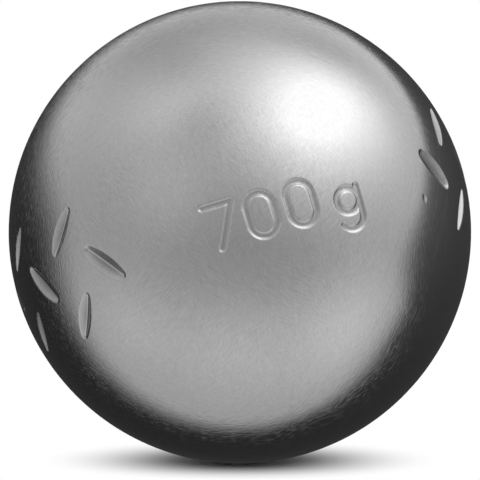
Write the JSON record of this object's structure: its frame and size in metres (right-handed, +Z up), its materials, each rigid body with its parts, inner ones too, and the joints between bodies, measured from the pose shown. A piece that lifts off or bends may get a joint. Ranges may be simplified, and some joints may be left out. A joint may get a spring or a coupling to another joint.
{
  "type": "petanque boule",
  "caption": "Hollow steel petanque boule: a satin ball of welded half shells, with a belt of short slanted grip cuts and one bare stretch for a hand to throw.",
  "frame": {"origin": "centre of the ball", "axes": "+Z up as the ball lies on the ground, -Y towards the side with the bare stretch in the belt of cuts, +X to the right of that view"},
  "size_m": [0.074, 0.074, 0.074],
  "materials": {
    "satin_steel": "satin, finely brushed in several directions"
  },
  "bodies": {
    "root": {"front_half_shell": "satin_steel", "rear_half_shell": "satin_steel", "weld_bead": "satin_steel"}
  },
  "joints": []
}
